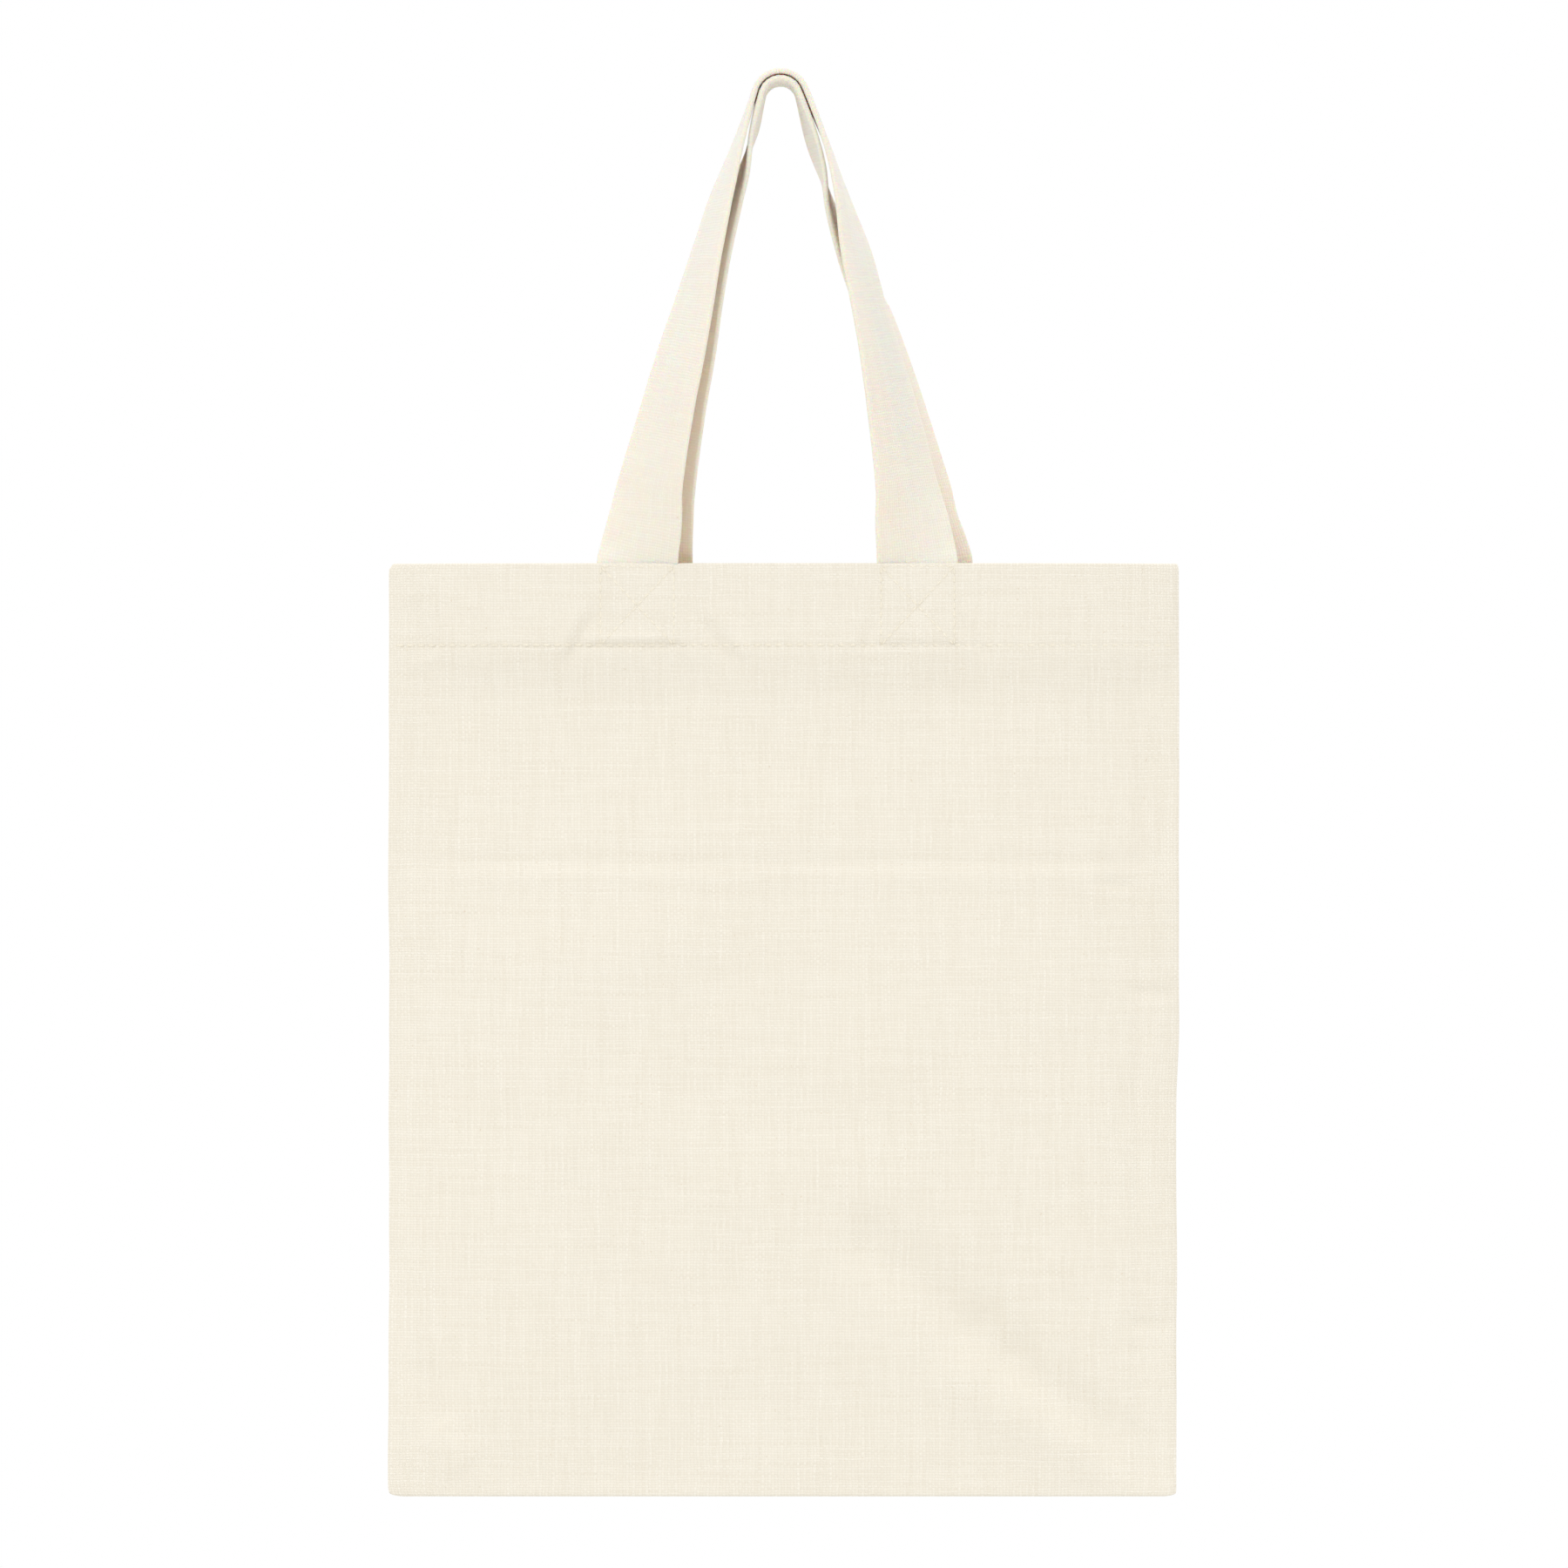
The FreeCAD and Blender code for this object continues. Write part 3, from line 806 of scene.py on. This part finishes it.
def stitchPlaces(start, end, facing, inset, pitch=sewing["pitch"]):
    length = math.hypot(end[0] - start[0], end[1] - start[1])
    count = max(round(length / pitch), 1)
    places = []
    for i in range(count):
        share = (i + 0.5) / count
        x = start[0] + (end[0] - start[0]) * share
        z = start[1] + (end[1] - start[1]) * share
        centre = wallPlace(x, z, facing, inset)
        right = wallPlace(x + 0.001, z, facing, inset) - wallPlace(x - 0.001, z, facing, inset)
        up = wallPlace(x, z + 0.001, facing, inset) - wallPlace(x, z - 0.001, facing, inset)
        along = (right * (end[0] - start[0]) + up * (end[1] - start[1])).normalized()
        outward = Vector((0, facing, 0))
        places.append((centre, along, outward))
    return places


def addStitches(mesh, places, length=sewing["length"]):
    for centre, along, outward in places:
        sideways = outward.cross(along).normalized()
        outward = along.cross(sideways)
        turn = Matrix((along, sideways, outward)).transposed().to_4x4()
        size = Matrix.Diagonal((length, sewing["width"], sewing["height"], 1))
        bmesh.ops.create_uvsphere(
            mesh, u_segments=8, v_segments=5, radius=0.5, matrix=Matrix.Translation(centre) @ turn @ size)


def makeStitches(name, runs, node, length=sewing["length"]):
    mesh = bmesh.new()
    for run in runs:
        addStitches(mesh, run, length)
    piece = makePiece(name, mesh, materials["cottonThread"])
    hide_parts(node)
    return piece


outside = -(bag["cloth"] / 2 + 0.00010)
inside = bag["facingInset"] + bag["cloth"] / 2 + 0.00010
hemEnds = (bag["left"] + sewing["edgeClear"], bag["right"] - sewing["edgeClear"])
line = bag["hemLine"]


def hemRuns(low, high, facing):
    clear = bag["facingClear"]
    lowInside, highInside = max(low, bag["left"] + clear), min(high, bag["right"] - clear)
    runs = [stitchPlaces((low, line), (high, line), facing, outside)]
    runs.append(stitchPlaces((lowInside, line), (highInside, line), facing, inside))
    return runs


frontHem = makeStitches("frontHemStitches", hemRuns(hemEnds[0], hemEnds[1], -1), "front_hem_thread")
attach(frontHem, "bag_front")
for side, low, high in (("left", hemEnds[0], bag["middle"]), ("right", bag["middle"], hemEnds[1])):
    piece = makeStitches("backHemStitches" + side.capitalize(), hemRuns(low, high, 1), "back_hem_thread")
    start, end = mouthBend[side]
    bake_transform(piece)

tackSewing = {"pitch": 0.0031, "length": 0.0026, "behind": 0.00105}
for facing, wall, body in ((-1, "front", "bag_front"), (1, "rear", "bag_back")):
    for side, lines in tacks[facing].items():
        runs = [stitchPlaces(start, end, facing, outside, tackSewing["pitch"]) for start, end in lines]
        behind = bag["strapInset"] + tackSewing["behind"]
        runs += [stitchPlaces(start, end, facing, behind, tackSewing["pitch"]) for start, end in lines]
        piece = makeStitches(f"{wall}{side.capitalize()}Tack", runs, f"{wall}_{side}_tack_thread",
                             tackSewing["length"])
        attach(piece, body)

overlock = {
    "reach": 0.0046,
    "clear": 0.0001,
    "pitch": 0.0030,
    "rise": 0.0012,
    "length": 0.0048,
    "oneStitch": 0.1,  # a pitch longer than any run, so that each run is one stitch
}
for side, edge, inwards in (("left", bag["left"], 1), ("right", bag["right"], -1)):
    surface = seam["inset"] + seam["thickness"] / 2 + 0.00008
    x = edge + inwards * seam["stitchIn"]
    straight = stitchPlaces((x, bag["fold"] + 0.006), (x, bag["top"] - 0.003), -1, surface)
    piece = makeStitches(side + "SeamStitches", [straight], side + "_seam_thread")
    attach(piece, "bag_front")
    zigzag = []
    outer = edge + inwards * (seam["end"] - overlock["reach"])
    inner = edge + inwards * (seam["end"] - overlock["clear"])
    for z in evenly(bag["fold"] + 0.006, bag["hemLine"] - 0.001, overlock["pitch"]):
        turn = z + overlock["rise"]
        zigzag.append(stitchPlaces((outer, z), (inner, turn), -1, surface, overlock["oneStitch"]))
        back = z + overlock["pitch"]
        zigzag.append(stitchPlaces((inner, turn), (outer, back), -1, surface, overlock["oneStitch"]))
    piece = makeStitches(side + "Overlock", zigzag, side + "_overlock_thread", overlock["length"])
    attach(piece, "bag_front")
print("sewing made")


# floor, light and background

floorPlace = {"height": -0.80, "size": 2.0}
mesh = bmesh.new()
bmesh.ops.create_grid(mesh, x_segments=1, y_segments=1, size=floorPlace["size"])
bmesh.ops.translate(mesh, verts=mesh.verts, vec=(0, 0, floorPlace["height"]))
floorMaterial = bpy.data.materials.new("paleFloor")
floorMaterial.use_nodes = True
floorShader = floorMaterial.node_tree.nodes["Principled BSDF"]
floorShader.inputs["Base Color"].default_value = (0.76, 0.76, 0.75, 1)
floorShader.inputs["Roughness"].default_value = 0.9
floorData = bpy.data.meshes.new("floor")
mesh.to_mesh(floorData)
mesh.free()
floorData.materials.append(floorMaterial)
floor = bpy.data.objects.new("floor", floorData)
scene.collection.objects.link(floor)

lights = {
    "key": {"place": (-3.0, -3.6, 2.8), "size": 1.2, "power": 42.0},
    "fill": {"place": (3.2, -4.0, 0.2), "size": 2.6, "power": 18.0},
    "back": {"place": (0.3, 4.0, 1.4), "size": 2.6, "power": 40.0},
}
for name, light in lights.items():
    data = bpy.data.lights.new(name, "AREA")
    data.size = light["size"]
    data.energy = light["power"]
    lamp = bpy.data.objects.new(name, data)
    lamp.location = light["place"]
    aim = Vector((0, 0, view["height"])) - Vector(light["place"])
    lamp.rotation_euler = aim.to_track_quat("-Z", "Y").to_euler()
    scene.collection.objects.link(lamp)

# a white background behind the bag, and a softer even light on it
world = bpy.data.worlds.new("whiteRoom")
world.use_nodes = True
scene.world = world
worldTree = world.node_tree
background = worldTree.nodes["Background"]
background.inputs["Color"].default_value = (1, 1, 1, 1)
rays = addNode(worldTree, "ShaderNodeLightPath")
direction = addNode(worldTree, "ShaderNodeTexCoord")
heights = addNode(worldTree, "ShaderNodeSeparateXYZ")
worldTree.links.new(direction.outputs["Generated"], heights.inputs[0])
sky = {"level": 0.745, "fromAbove": 0.56}
overhead = calculate(worldTree, "MULTIPLY_ADD", heights.outputs[2], sky["fromAbove"], sky["level"])
strength = addNode(worldTree, "ShaderNodeMix", data_type="FLOAT")
strength.inputs[3].default_value = 1.0
worldTree.links.new(overhead, strength.inputs[2])
worldTree.links.new(rays.outputs["Is Camera Ray"], strength.inputs[0])
worldTree.links.new(strength.outputs[0], background.inputs["Strength"])
scene.view_settings.view_transform = "Standard"
print("stage and light made")
